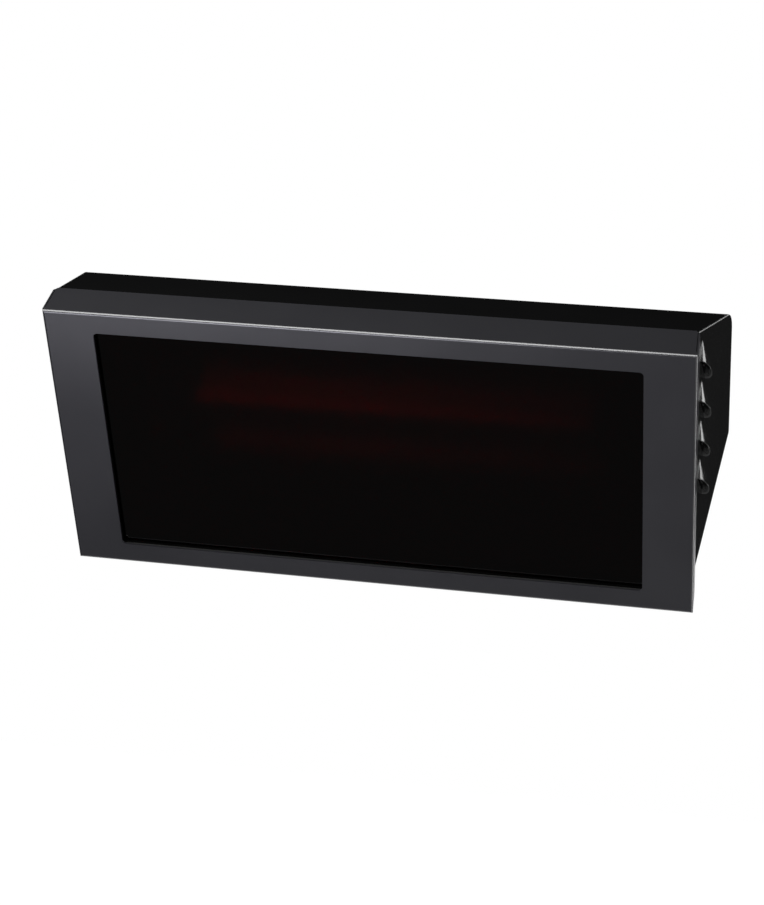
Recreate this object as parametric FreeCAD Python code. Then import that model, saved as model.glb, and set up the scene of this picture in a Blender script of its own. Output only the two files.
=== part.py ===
import FreeCAD, Part
import os
from math import atan2, cos, hypot, pi, radians, sin, tan

# Halogen wall heater on a tilting bracket, in millimetres.
# The origin is the middle of the bracket's back face, on the wall.
# +X runs along the heater, +Y points into the wall, +Z is up.
# The heater's own pieces are drawn with the front of the face at y = 0 and moved at the end.

os.makedirs("parts", exist_ok=True)
V = FreeCAD.Vector
RIGHT = V(1, 0, 0)
LEFT = V(-1, 0, 0)
BACK = V(0, 1, 0)
FRONT = V(0, -1, 0)
UP = V(0, 0, 1)
DOWN = V(0, 0, -1)
FAR = 1000.0

# Lamp
lamp_lit = 370.0
tube_margin = 5.0
tube_radius = 5.0
tube_wall = 1.0
filament_radius = 1.0
pinch_length = 10.0
pinch_width = 9.0
pinch_thick = 3.0
cap_length = 16.0
cap_slot = 8.0
cap_height = 13.0
cap_thick = 10.0
contact_radius = 2.5
contact_length = 2.0
slot_clearance = 0.2

# Lamp holders
holder_length = 17.0
holder_height = 30.0
holder_thick = 20.0
holder_screw_rise = 11.0
lead_offset = 6.0

# Reflector, its end plates and the heat shield behind it
lamp_depth = 96.0
mouth_depth = 50.5
reflector_gap = 16.0
reflector_half = 42.0
wing_angle = radians(30.0)
reflector_sheet = 1.0
reflector_rim = 6.0
end_sheet = 1.2
end_foot = 14.0
foot_margin = 3.0
foot_screw_inset = 14.0
shield_gap = 14.0
shield_sheet = 1.0
shield_margin = 12.5
shield_flange = 8.0
shield_bolt_setback = 46.0
shield_bolt_inset = 14.0
spacer_radius = 5.0

# Wiring
lead_radius = 1.5
lead_clear = 14.0
lead_bend = 12.0
block_gap = 15.0
block_width = 36.0
block_depth = 22.0
block_height = 30.0
block_step = 6.0
pole_channel = 5.0
pole_screw = 4.0
side_room = 8.8
earth_stud_rise = 30.0
earth_stud_length = 14.0
earth_stud_flange = 1.5

# Front frame
face_height = 280.0
frame_sheet = 1.5
frame_depth = 33.0
top_rise = 5.3
side_draft = 2.0
pressed_edge = 2.5
corner_slit = 0.6
corner_clip = 3.5
border_side = 47.0
border_end = 21.0
window_corner = 4.0
side_lip = 14.0
foot_lip = 18.5
frame_screw_count = 5
frame_screw_pitch = 130.0
frame_screw_rise = 12.0

# Glass and what holds it
glass_thick = 4.0
glass_corner = 3.0
gasket_thick = 4.5
gasket_setback = 2.0
stud_room = 9.5
stud_count = 5
stud_pitch = 112.0
stud_length = 7.0
stud_collar_radius = 3.0
retainer_sheet = 1.2
retainer_setback = 1.5
retainer_leg = 7.5
retainer_end = 8.0

# Rear housing
body_depth = 158.0
housing_sheet = 1.2
hood_drop = 51.3
hood_corner = 24.0
foot_corner = 3.5
chin_rise = 24.3
floor_rise = 76.2
collar_reach = 21.0
apron_lift = 3.0
fold = 1.0

# End cheeks and their louvres
flare_angle = radians(8.0)
cheek_inset = 1.0
cheek_sheet = 1.2
cheek_round = 0.9
tab_width = 12.0
tab_setback = 24.0
cheek_screw_inset = 12.0
louvre_count = 4
louvre_pitch = 42.0
louvre_drop = 15.0
louvre_setback = 12.6
louvre_length = 26.4
louvre_reach = 7.4
louvre_sheet = 1.0
mouth_angle = radians(58.0)

# Cable gland
gland_height = 40.0
gland_radius = 8.0
gland_hex = 20.0
gland_flange = 5.0
gland_stub = 10.0
gland_thread = 9.0
gland_bore = 5.0
gland_dome = 12.0
locknut_thick = 5.0
cable_radius = 3.5
seal_length = 8.0

# Tilting bracket
wall_reach = 35.0
tilt_angle = radians(45.0)
bracket_sheet = 2.5
bracket_bend = 2.5
bracket_rim = 6.0
wall_hole_radius = 3.5
wall_hole_pitch = 100.0
wall_hole_rise = 40.0
yoke_width = 140.0
yoke_height = 60.0
yoke_ear_radius = 13.0
yoke_bolt_pitch = 90.0
yoke_bolt_rise = 36.0
washer_thick = 0.8
washer_radius = 10.0
running_gap = 0.3
pivot_bolt_radius = 4.0
pivot_hex = 13.0
pivot_head = 5.3
pivot_nut = 6.4
nut_standout = 2.0
clamp_bolt_radius = 3.0
clamp_head_radius = 7.0
clamp_head = 3.5
knob_radius = 11.0
knob_height = 12.0
knob_lobes = 6
knob_flute = 3.0
knob_gap = 3.5
knob_room = 2.0

# Fasteners that several pieces share
screw_radius = 2.0
screw_head_radius = 4.0
screw_head = 2.4
screw_length = 8.0
nut_hex = 7.0
nut_thick = 3.2
bolt_radius = 2.5
bolt_hex = 8.0
bolt_head = 3.5
hole_clearance = 0.2
small_screw_radius = 1.5
small_head_radius = 2.75
small_head = 1.8

# Lengths along the lamp, from the middle to the right
tube_half = lamp_lit / 2 + tube_margin
cap_in = tube_half + pinch_length - cap_slot
holder_in = cap_in + cap_length
plate_in = holder_in + holder_length
plate_out = plate_in + end_sheet
lead_out = plate_out + lead_clear
block_left = lead_out + block_gap
half_width = block_left + block_width + side_room

# Heights and depths of the shell
half_height = face_height / 2
rear_half = half_width - side_draft
draft_angle = atan2(side_draft, frame_depth)
rise_angle = atan2(top_rise, frame_depth)
ridge = half_height + top_rise - frame_sheet / cos(rise_angle)
back_top = ridge - hood_drop
chin = chin_rise - half_height
back_foot = chin + floor_rise
apron_back = frame_depth + housing_sheet
back_inside = body_depth - housing_sheet
floor_slope = floor_rise / (body_depth - apron_back)


def floor_inside(depth):
    """Height of the slanted floor's upper face at a depth behind the front."""
    return chin + floor_slope * (depth - apron_back) + housing_sheet * hypot(1, floor_slope)


# Reflector: a flat back behind the lamp and two wings that open to the mouth
reflector_back = lamp_depth + reflector_gap
mouth_half = reflector_half + tan(wing_angle) * (reflector_back - mouth_depth)
shield_front = reflector_back + reflector_sheet + shield_gap
shield_back = shield_front + shield_sheet
shield_half = -floor_inside(shield_back) - shield_margin
foot_half = shield_half - shield_sheet - foot_margin
foot_screw_rise = foot_half - foot_screw_inset
shield_bolt_x = plate_out - shield_bolt_setback
shield_bolt_z = shield_half - shield_bolt_inset
lead_run = (shield_back + back_inside) / 2

# Glass stack
flange_inside = half_height - frame_sheet
glass_overlap = border_end - frame_sheet - stud_room
window_half_width = half_width - border_side
window_half_height = half_height - border_end
glass_half_width = window_half_width + glass_overlap
glass_half_height = window_half_height + glass_overlap
glass_front = frame_sheet + gasket_thick
glass_back = glass_front + glass_thick
stud_z = flange_inside - stud_room / 2

# Bracket
hex_corner = 1 / cos(pi / 6)
clamp_arm = pivot_hex / 2 * hex_corner + knob_gap + knob_radius
pivot_reach = clamp_arm + knob_radius + knob_room
slot_half = clamp_bolt_radius + running_gap
ear_radius = clamp_arm + slot_half + bracket_rim
yoke_out = yoke_width / 2
yoke_in = yoke_out - bracket_sheet
ear_in = yoke_out + running_gap + washer_thick
ear_out = ear_in + bracket_sheet
front_y = -(body_depth + pivot_reach + wall_reach)
pivot_d = body_depth + pivot_reach
gland_x = (shield_bolt_x + block_left) / 2
earth_x = block_left + block_width / 2
pole_seat = back_inside - block_depth + pole_channel


def row(count, pitch):
    """Evenly spaced places, centred on zero."""
    return [(index - (count - 1) / 2) * pitch for index in range(count)]


def corner_arc(before, corner, after, radius):
    """Start, middle and end of the arc that rounds one corner."""
    back = (before - corner).normalize()
    ahead = (after - corner).normalize()
    half = back.getAngle(ahead) / 2
    reach = radius / tan(half)
    middle = corner + (back + ahead).normalize() * (radius / sin(half) - radius)
    return corner + back * reach, middle, corner + ahead * reach


def rounded(points, radii, closed=True):
    """Wire of straight runs, with an arc at each corner that has a radius."""
    count = len(points)
    stops = []
    for index, point in enumerate(points):
        if radii[index]:
            stops.append(corner_arc(points[index - 1], point, points[(index + 1) % count], radii[index]))
        else:
            stops.append((point,))
    edges = []
    for index, stop in enumerate(stops):
        if len(stop) == 3:
            edges.append(Part.Arc(*stop).toShape())
        if closed or index + 1 < count:
            edges.append(Part.LineSegment(stop[-1], stops[(index + 1) % count][0]).toShape())
    return Part.Wire(edges)


def beside(points, distance, normal):
    """The same open line moved sideways, to the left as seen against the normal."""
    sides = [normal.cross((end - start).normalize()) for start, end in zip(points, points[1:])]
    moved = [points[0] + sides[0] * distance]
    for point, before, after in zip(points[1:-1], sides, sides[1:]):
        halfway = (before + after).normalize()
        moved.append(point + halfway * (distance / halfway.dot(before)))
    moved.append(points[-1] + sides[-1] * distance)
    return moved


def folded(points, thickness, bends, normal):
    """Face of a folded sheet that lies to the left of the points; bends are the inner radii."""
    near = [0.0]
    far = [0.0]
    for before, corner, after, bend in zip(points, points[1:], points[2:], bends):
        turns_left = (corner - before).cross(after - corner).dot(normal) > 0
        near.append(bend + thickness if turns_left else bend)
        far.append(bend if turns_left else bend + thickness)
    other = beside(points, thickness, normal)
    edges = rounded(points, near + [0.0], False).Edges + rounded(other, far + [0.0], False).Edges
    edges.append(Part.LineSegment(points[0], other[0]).toShape())
    edges.append(Part.LineSegment(points[-1], other[-1]).toShape())
    return Part.Face(Part.Wire(Part.__sortEdges__(edges)))


def across(points, left, right):
    """Bar along X whose section is the polygon of depths and heights."""
    corners = [V(left, depth, height) for depth, height in points]
    return Part.Face(Part.makePolygon(corners + corners[:1])).extrude(V(right - left, 0, 0))


def upright(points, low, high):
    """Bar along Z whose plan is the polygon of x and depth."""
    corners = [V(x, depth, low) for x, depth in points]
    return Part.Face(Part.makePolygon(corners + corners[:1])).extrude(V(0, 0, high - low))


def block(left, right, front, back, low, high):
    return Part.makeBox(right - left, back - front, high - low, V(left, front, low))


def pane(half_x, half_z, front, back, corner):
    """Rounded rectangle that faces the front."""
    signs = ((-1, -1), (1, -1), (1, 1), (-1, 1))
    points = [V(across_x * half_x, front, up_z * half_z) for across_x, up_z in signs]
    return Part.Face(rounded(points, [corner] * 4)).extrude(V(0, back - front, 0))


def hexagon(at, way, flats, length):
    """Six-sided bar that starts at a point and runs the given way."""
    side = way.cross(RIGHT if abs(way.x) < 0.5 else UP).normalize()
    other = way.cross(side)
    reach = flats / 2 * hex_corner
    turns = [index * pi / 3 for index in range(7)]
    corners = [at + side * (reach * cos(turn)) + other * (reach * sin(turn)) for turn in turns]
    return Part.Face(Part.makePolygon(corners)).extrude(way * length)


def rod(at, way, radius, length):
    return Part.makeCylinder(radius, length, at, way)


def ring(at, way, outer, inner, length):
    return rod(at, way, outer, length).cut(rod(at, way, inner, length))


def drill(at, way, radius):
    """Long rod through a point, for a hole with the shared clearance."""
    return rod(at - way * FAR, way, radius + hole_clearance, 2 * FAR)


def screw(seat, way, length):
    """Pan-head screw whose head stands on its seat and whose shank runs the given way."""
    head = rod(seat - way * screw_head, way, screw_head_radius, screw_head)
    return head.fuse(rod(seat, way, screw_radius, length)).removeSplitter()


def small_screw(seat, way, length):
    head = rod(seat - way * small_head, way, small_head_radius, small_head)
    return head.fuse(rod(seat, way, small_screw_radius, length)).removeSplitter()


def hex_bolt(seat, way, flats, head, radius, length):
    top = hexagon(seat - way * head, way, flats, head)
    return top.fuse(rod(seat, way, radius, length)).removeSplitter()


def hex_nut(seat, way, flats, radius, thickness):
    """Nut that stands on its seat and grows the given way."""
    return hexagon(seat, way, flats, thickness).cut(drill(seat, way, radius))


def group(solids):
    return Part.makeCompound(solids)


def mirrored(shape):
    """The same piece on the left."""
    return shape.mirror(V(0, 0, 0), RIGHT)


# Places that several pieces share
frame_screw_places = [V(x, apron_back, frame_screw_rise - half_height)
                      for x in row(frame_screw_count, frame_screw_pitch)]
stud_xs = row(stud_count, stud_pitch)
holder_screw_heights = row(2, 2 * holder_screw_rise)
yoke_bolt_places = [V(x, body_depth + bracket_sheet, z)
                    for x in row(2, yoke_bolt_pitch) for z in row(2, yoke_bolt_rise)]
shield_bolt_places = [V(x, body_depth, z)
                      for x in row(2, 2 * shield_bolt_x) for z in row(2, 2 * shield_bolt_z)]
gland_at = V(gland_x, body_depth, gland_height)
block_screw_places = [V(earth_x + x, back_inside - block_depth, 0)
                      for x in row(2, block_width - 2 * block_step)]
terminal_screw_places = [V(earth_x + x, pole_seat, pole)
                         for x in row(2, block_width / 2) for pole in (-lead_offset, lead_offset)]


def cheek_outside(depth):
    """Half width of the body over its cheeks at a depth behind the front."""
    return rear_half - cheek_inset + tan(flare_angle) * (depth - frame_depth)


tab_middle = (cheek_sheet + tab_width / 2) / cos(flare_angle)
cheek_screw_places = [V(side * (cheek_outside(body_depth) - tab_middle), body_depth, z)
                      for side in (-1, 1)
                      for z in (back_foot + tab_setback + cheek_screw_inset,
                                back_top - tab_setback - cheek_screw_inset)]


def frame_side(depth, inset):
    """Half width of the frame at a depth, set in from the outer faces of its sides."""
    return half_width - tan(draft_angle) * depth - inset / cos(draft_angle)


def frame_top(depth, inset):
    """Height of the frame's top at a depth, set in from its outer face."""
    return half_height + tan(rise_angle) * depth - inset / cos(rise_angle)


def tray(inset):
    """Solid inside the frame's outline, set in from its outer faces, with rounded front edges."""
    back = frame_depth + inset
    low = inset - half_height
    section = [(inset, low), (inset, frame_top(inset, inset)), (back, frame_top(back, inset)), (back, low)]
    right = [(frame_side(depth, inset), depth) for depth in (inset, back)]
    plan = right + [(-x, depth) for x, depth in reversed(right)]
    solid = across(section, -half_width, half_width).common(upright(plan, -face_height, face_height))
    pressed = [edge for edge in solid.Edges if edge.BoundBox.YMax < inset + frame_sheet]
    return solid.makeFillet(pressed_edge - inset, pressed)


def clip(corner):
    """Cutter that takes a slanted bit off one of the frame's rear corners, on the right."""
    outward = V(1, 1, 1 if corner.z > 0 else -1)
    return rod(corner - outward * (corner_clip / 3), outward, corner_clip, corner_clip)


def front_frame():
    """Folded tray with the window, lips at the sides and foot, glass studs, slits and clipped corners."""
    frame = tray(0.0).cut(tray(frame_sheet))
    frame = frame.cut(pane(window_half_width, window_half_height, -FAR, frame_depth / 2, window_corner))
    lip_front = frame_depth - frame_sheet
    side = frame_side(frame_depth, frame_sheet / 2)
    low = frame_sheet - half_height
    lips = [block(-side, side, lip_front, frame_depth, low, low + foot_lip)]
    lips.append(block(side - side_lip, side, lip_front, frame_depth, low, half_height))
    lips.append(mirrored(lips[1]))
    studs = []
    for x in stud_xs:
        for z in (-stud_z, stud_z):
            studs.append(rod(V(x, frame_sheet, z), BACK, stud_collar_radius, glass_back - frame_sheet))
            studs.append(rod(V(x, glass_back, z), BACK, screw_radius, stud_length))
    frame = frame.fuse(lips + studs).removeSplitter()
    ends = [(frame_side(depth, frame_sheet), depth) for depth in (2 * pressed_edge, frame_depth)]
    plan = ends + [(x - corner_slit, depth) for x, depth in reversed(ends)]
    slit = upright(plan, half_height - 2 * frame_sheet, FAR)
    cuts = [slit, slit.mirror(V(0, 0, 0), UP)]
    cuts += [clip(V(rear_half, frame_depth, z)) for z in (-half_height, half_height + top_rise)]
    cuts += [mirrored(cut) for cut in cuts]
    lip_slab = block(-FAR, FAR, lip_front, frame_depth, -FAR, FAR)
    holes = [drill(place, BACK, screw_radius).common(lip_slab) for place in frame_screw_places]
    return frame.cut(cuts + holes)


def glass_gasket():
    outer = pane(glass_half_width, glass_half_height, frame_sheet, glass_front, glass_corner)
    reach = glass_overlap - gasket_setback
    return outer.cut(pane(glass_half_width - reach, glass_half_height - reach,
                          frame_sheet, glass_front, glass_corner))


def glass_panel():
    return pane(glass_half_width, glass_half_height, glass_front, glass_back, glass_corner)


def glass_retainer():
    """Angle strip on the frame's studs that presses the glass's upper edge forward."""
    top = flange_inside - retainer_setback
    inner = window_half_height + retainer_setback
    half = window_half_width + retainer_end
    leg_end = glass_back + retainer_leg
    line = [V(-half, glass_back, top), V(-half, glass_back, inner), V(-half, leg_end, inner)]
    strip = folded(line, retainer_sheet, [fold], RIGHT).extrude(V(2 * half, 0, 0))
    return strip.cut([drill(V(x, glass_back, stud_z), BACK, screw_radius) for x in stud_xs])


def retainer_nuts():
    seat = glass_back + retainer_sheet
    return group([hex_nut(V(x, seat, z), BACK, nut_hex, screw_radius, nut_thick)
                  for x in stud_xs for z in (-stud_z, stud_z)])


# Outer side of the housing's sheet, from the collar under the frame's top round to the apron
housing_line = [
    (frame_depth - collar_reach, ridge - tan(rise_angle) * collar_reach),
    (frame_depth, ridge),
    (body_depth, back_top),
    (body_depth, back_foot),
    (apron_back, chin),
    (apron_back, apron_lift - half_height),
]


def inside_cheeks(gap):
    """Upright block that ends a gap in from the outer face of each cheek."""
    deep = 2 * body_depth
    front = cheek_outside(0) - gap / cos(flare_angle)
    back = cheek_outside(deep) - gap / cos(flare_angle)
    return upright([(-front, 0), (front, 0), (back, deep), (-back, deep)], -FAR, FAR)


def along_cheeks(gap, width):
    """Upright slabs along both cheeks: a gap in from their outer faces, and so wide."""
    return inside_cheeks(gap).cut(inside_cheeks(gap + width))


def rear_housing():
    reach = cheek_outside(body_depth)
    line = [V(-reach, depth, height) for depth, height in housing_line]
    bends = [fold, hood_corner - housing_sheet, foot_corner - housing_sheet, fold]
    wrap = folded(line, housing_sheet, bends, LEFT).extrude(V(2 * reach, 0, 0))
    wrap = wrap.common(inside_cheeks(cheek_sheet))
    back_holes = [drill(place, BACK, bolt_radius) for place in yoke_bolt_places]
    back_holes += [drill(place, BACK, screw_radius) for place in shield_bolt_places + cheek_screw_places]
    back_holes += [drill(place, BACK, small_screw_radius) for place in block_screw_places]
    back_holes.append(drill(gland_at, BACK, gland_radius))
    back_half = block(-FAR, FAR, back_inside - housing_sheet, FAR, -FAR, FAR)
    apron_holes = [drill(place, BACK, screw_radius) for place in frame_screw_places]
    apron = block(-FAR, FAR, frame_depth, apron_back, -FAR, chin)
    back_holes = [hole.common(back_half) for hole in back_holes]
    return wrap.cut(back_holes + [hole.common(apron) for hole in apron_holes])


def cheek_tab(start, end):
    """Inner fold of a cheek along one straight edge of the housing's inner side."""
    along = (end - start).normalize()
    inward = LEFT.cross(along) * cheek_sheet
    near = start + along * tab_setback
    far = end - along * tab_setback
    corners = [near, far, far + inward, near + inward]
    return across([(corner.y, corner.z) for corner in corners], 0, FAR)


def louvre(apex_height):
    """Pressed half cone that opens forward and down, and the hollow under it."""
    edge = cheek_outside(frame_depth)
    axis = frame_depth + louvre_setback
    slope = louvre_reach / louvre_length
    long = 2 * louvre_length
    middle = V(0, axis, apex_height - louvre_length)
    down = V(0, cos(mouth_angle), -sin(mouth_angle)) * long
    behind = V(0, sin(mouth_angle), cos(mouth_angle)) * long
    corners = [middle - down, middle + down, middle + down + behind, middle - down + behind]
    section = [(corner.y, corner.z) for corner in corners]
    keep = across(section, edge - cheek_sheet, edge + long)
    clear = across(section, edge - long, edge + long)
    shift = louvre_sheet * hypot(1, slope) / slope
    outer = Part.makeCone(0, slope * long, long, V(edge, axis, apex_height), DOWN).common(keep)
    inner = Part.makeCone(0, slope * long, long, V(edge, axis, apex_height - shift), DOWN).common(clear)
    for solid in (outer, inner):
        solid.rotate(V(edge, frame_depth, 0), UP, -flare_angle * 180 / pi)
    return outer, inner


def cheek():
    """Right end plate, with its folds and its column of louvres."""
    line = [V(0, depth, height) for depth, height in housing_line]
    outline = [V(0, frame_depth, ridge), line[2], line[3], V(0, frame_depth, chin)]
    plate = Part.Face(rounded(outline, [0, hood_corner, foot_corner, 0])).extrude(V(FAR, 0, 0))
    plate = plate.common(along_cheeks(0, cheek_sheet))
    outer_face = [face for face in plate.Faces if face.normalAt(0, 0).x > 0.5][0]
    shell_edges = [edge for edge in outer_face.Edges if edge.BoundBox.YMax > apron_back]
    plate = plate.makeFillet(cheek_round, shell_edges)
    inner_line = beside(line, housing_sheet, LEFT)
    tabs = [cheek_tab(start, end) for start, end in zip(inner_line[1:4], inner_line[2:5])]
    front_edge = V(0, frame_depth, 0)
    tabs.append(cheek_tab(front_edge + UP * chin, front_edge + UP * ridge))
    tabs = [tab.common(along_cheeks(cheek_sheet, tab_width)) for tab in tabs]
    pairs = [louvre(ridge - louvre_drop - index * louvre_pitch) for index in range(louvre_count)]
    shell = plate.fuse(tabs + [outer for outer, inner in pairs])
    back_tab = block(0, FAR, back_inside - 2 * cheek_sheet, back_inside, -FAR, FAR)
    holes = [drill(place, BACK, screw_radius).common(back_tab) for place in cheek_screw_places]
    return shell.cut([inner for outer, inner in pairs] + holes).removeSplitter()


def frame_screws():
    return group([screw(place, FRONT, screw_length) for place in frame_screw_places])


def cheek_screws():
    return group([screw(place, FRONT, screw_length) for place in cheek_screw_places])


def reflector():
    """Trough folded from one bright sheet, with a rim along each side of its mouth."""
    half = [(mouth_depth, mouth_half + reflector_rim), (mouth_depth, mouth_half),
            (reflector_back, reflector_half)]
    line = [V(-plate_in, depth, -height) for depth, height in half]
    line += [V(-plate_in, depth, height) for depth, height in reversed(half)]
    return folded(line, reflector_sheet, [fold] * 4, LEFT).extrude(V(2 * plate_in, 0, 0))


def reflector_end():
    """Right end plate of the reflector, with a foot turned in along the heat shield."""
    reach = mouth_half + reflector_rim
    line = [V(plate_out, mouth_depth, -reach), V(plate_out, shield_front, -reach),
            V(plate_out - end_foot, shield_front, -reach)]
    plate = folded(line, end_sheet, [fold], UP).extrude(V(0, 0, 2 * reach))
    waist = shield_back - shield_flange - fold
    upper = [(mouth_depth, reach), (waist, foot_half), (shield_front, foot_half)]
    plate = plate.common(across(upper + [(depth, -height) for depth, height in reversed(upper)], 0, FAR))
    holes = [drill(V(0, lamp_depth, z), RIGHT, small_screw_radius) for z in holder_screw_heights]
    holes.append(drill(V(0, lamp_depth, lead_offset), RIGHT, lead_radius))
    holes += [drill(place, BACK, screw_radius) for place in foot_screw_places(1)]
    return plate.cut(holes)


def foot_screw_places(side):
    x = side * (plate_out - end_foot + screw_head_radius)
    return [V(x, shield_front - end_sheet, z) for z in (-foot_screw_rise, foot_screw_rise)]


def end_screws():
    return group([screw(place, BACK, screw_length) for side in (-1, 1) for place in foot_screw_places(side)])


def heat_shield():
    flange_front = shield_back - shield_flange
    line = [V(-plate_out, depth, height) for depth, height in (
        (flange_front, shield_half), (shield_back, shield_half),
        (shield_back, -shield_half), (flange_front, -shield_half))]
    shield = folded(line, shield_sheet, [fold, fold], LEFT).extrude(V(2 * plate_out, 0, 0))
    places = shield_bolt_places + foot_screw_places(-1) + foot_screw_places(1)
    return shield.cut([drill(place, BACK, screw_radius) for place in places])


def shield_spacers():
    return group([ring(V(place.x, shield_back, place.z), BACK, spacer_radius, screw_radius + hole_clearance,
                       back_inside - shield_back) for place in shield_bolt_places])


def shield_bolts():
    length = body_depth - shield_front + nut_thick + nut_standout
    return group([screw(place, FRONT, length) for place in shield_bolt_places])


def shield_nuts():
    return group([hex_nut(V(place.x, shield_front, place.z), FRONT, nut_hex, screw_radius, nut_thick)
                  for place in shield_bolt_places])


def lamp_tube():
    """Quartz tube, sealed by a flat pinch at each end."""
    tube = rod(V(-tube_half, lamp_depth, 0), RIGHT, tube_radius, 2 * tube_half)
    thick = pinch_thick / 2
    pinch = block(tube_half, tube_half + pinch_length, lamp_depth - thick, lamp_depth + thick,
                  -pinch_width / 2, pinch_width / 2)
    tube = tube.fuse([pinch, mirrored(pinch)])
    return tube.cut(rod(V(-lamp_lit / 2, lamp_depth, 0), RIGHT, tube_radius - tube_wall, lamp_lit))


def lamp_filament():
    return rod(V(-lamp_lit / 2, lamp_depth, 0), RIGHT, filament_radius, lamp_lit)


def lamp_cap():
    cap = block(cap_in, holder_in, lamp_depth - cap_thick / 2, lamp_depth + cap_thick / 2,
                -cap_height / 2, cap_height / 2)
    slot_y = pinch_thick / 2 + slot_clearance
    slot_z = pinch_width / 2 + slot_clearance
    slot = block(cap_in, cap_in + cap_slot, lamp_depth - slot_y, lamp_depth + slot_y, -slot_z, slot_z)
    button = rod(V(holder_in, lamp_depth, 0), RIGHT, contact_radius, contact_length)
    return cap.cut(slot).fuse(button).removeSplitter()


def lamp_holder():
    """Right ceramic block, with a socket for the cap's contact and a way in for the lead."""
    body = block(holder_in, plate_in, lamp_depth - holder_thick / 2, lamp_depth + holder_thick / 2,
                 -holder_height / 2, holder_height / 2)
    body = body.makeFillet(fold, [edge for edge in body.Edges if edge.BoundBox.XLength > holder_length / 2])
    socket = rod(V(holder_in, lamp_depth, 0), RIGHT, contact_radius + slot_clearance,
                 contact_length + slot_clearance)
    bore = small_screw_radius + hole_clearance
    bores = [rod(V(plate_in, lamp_depth, z), LEFT, bore, screw_length) for z in holder_screw_heights]
    return body.cut([socket] + bores)


def holder_screws():
    right = [small_screw(V(plate_out, lamp_depth, z), LEFT, screw_length) for z in holder_screw_heights]
    return group(right + [mirrored(one) for one in right])


def turned(shape):
    """The same piece turned half round the Y axis, to the left end."""
    other = shape.copy()
    other.rotate(V(0, 0, 0), BACK, 180)
    return other


def lead(points):
    """Insulated lead along straight runs joined by arcs."""
    path = rounded(points, [0.0] + [lead_bend] * (len(points) - 2) + [0.0], False)
    way = (points[1] - points[0]).normalize()
    section = Part.Wire(Part.makeCircle(lead_radius, points[0], way))
    return path.makePipeShell([section], True, False)


def lead_live():
    return lead([V(plate_in, lamp_depth, lead_offset), V(lead_out, lamp_depth, lead_offset),
                 V(lead_out, lead_run, lead_offset), V(block_left, lead_run, lead_offset)])


def lead_neutral():
    return lead([V(-plate_in, lamp_depth, -lead_offset), V(-lead_out, lamp_depth, -lead_offset),
                 V(-lead_out, lead_run, -lead_offset), V(block_left, lead_run, -lead_offset)])


def terminal_block():
    """Two-pole block on the back panel, with a channel for each pole's screws."""
    half = block_height / 2
    body = block(block_left, block_left + block_width, back_inside - block_depth, back_inside, -half, half)
    channels = [block(block_left, block_left + block_width, -FAR, pole_seat,
                      pole - block_step / 2, pole + block_step / 2) for pole in (-lead_offset, lead_offset)]
    bores = [drill(place, BACK, small_screw_radius) for place in block_screw_places]
    bores += [rod(place, BACK, small_screw_radius + hole_clearance, pole_screw + hole_clearance)
              for place in terminal_screw_places]
    return body.cut(channels + bores)


def terminal_screws():
    return group([small_screw(place, BACK, pole_screw) for place in terminal_screw_places])


def block_screws():
    length = block_depth + housing_sheet + nut_standout
    return group([small_screw(place, BACK, length) for place in block_screw_places])


def earth_stud():
    at = V(earth_x, back_inside, earth_stud_rise + block_height / 2)
    flange = rod(at, FRONT, bolt_radius * 2, earth_stud_flange)
    return flange.fuse(rod(at, FRONT, bolt_radius, earth_stud_length)).removeSplitter()


def earth_nut():
    at = V(earth_x, back_inside - earth_stud_flange, earth_stud_rise + block_height / 2)
    return hex_nut(at, FRONT, bolt_hex, bolt_radius, bolt_head)


def gland_body():
    """Threaded stub through the back panel, a hexagon outside it and a thread for the dome nut."""
    inner = housing_sheet + gland_stub
    stub = rod(gland_at + FRONT * inner, BACK, gland_radius, inner)
    collar = hexagon(gland_at, BACK, gland_hex, gland_flange)
    thread = rod(gland_at + BACK * gland_flange, BACK, gland_radius, gland_thread)
    return stub.fuse([collar, thread]).removeSplitter().cut(drill(gland_at, BACK, gland_bore))


def gland_locknut():
    return hex_nut(gland_at + FRONT * housing_sheet, FRONT, gland_hex, gland_radius, locknut_thick)


def gland_seal():
    back = gland_at + BACK * (gland_flange + gland_thread)
    return ring(back, FRONT, gland_bore, cable_radius, seal_length)


def gland_nut():
    """Dome nut over the thread; its lip holds the seal in."""
    seat = gland_at + BACK * gland_flange
    skirt = hexagon(seat, BACK, gland_hex, gland_thread)
    crown = seat + BACK * gland_thread
    dome = Part.makeCone(gland_hex / 2, gland_radius, gland_dome - gland_thread, crown, BACK)
    nut = skirt.fuse(dome).removeSplitter()
    hollow = rod(seat, BACK, gland_radius + hole_clearance, gland_thread)
    return nut.cut([hollow, rod(seat, BACK, cable_radius, gland_dome)])


def ear_drill(along, rise, radius):
    """Hole along X through the ears, at a place measured from the pivot."""
    return rod(V(-FAR, pivot_d + along, rise), RIGHT, radius, 2 * FAR)


def stadium(from_depth, half, radius):
    """Ear outline: a tapering plate from a depth, with a round end about the pivot."""
    corners = [(from_depth, -half), (from_depth, half), (pivot_d, radius), (pivot_d, -radius)]
    plate = across(corners, -FAR, FAR)
    return plate.fuse(rod(V(-FAR, pivot_d, 0), RIGHT, radius, 2 * FAR)).removeSplitter()


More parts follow.
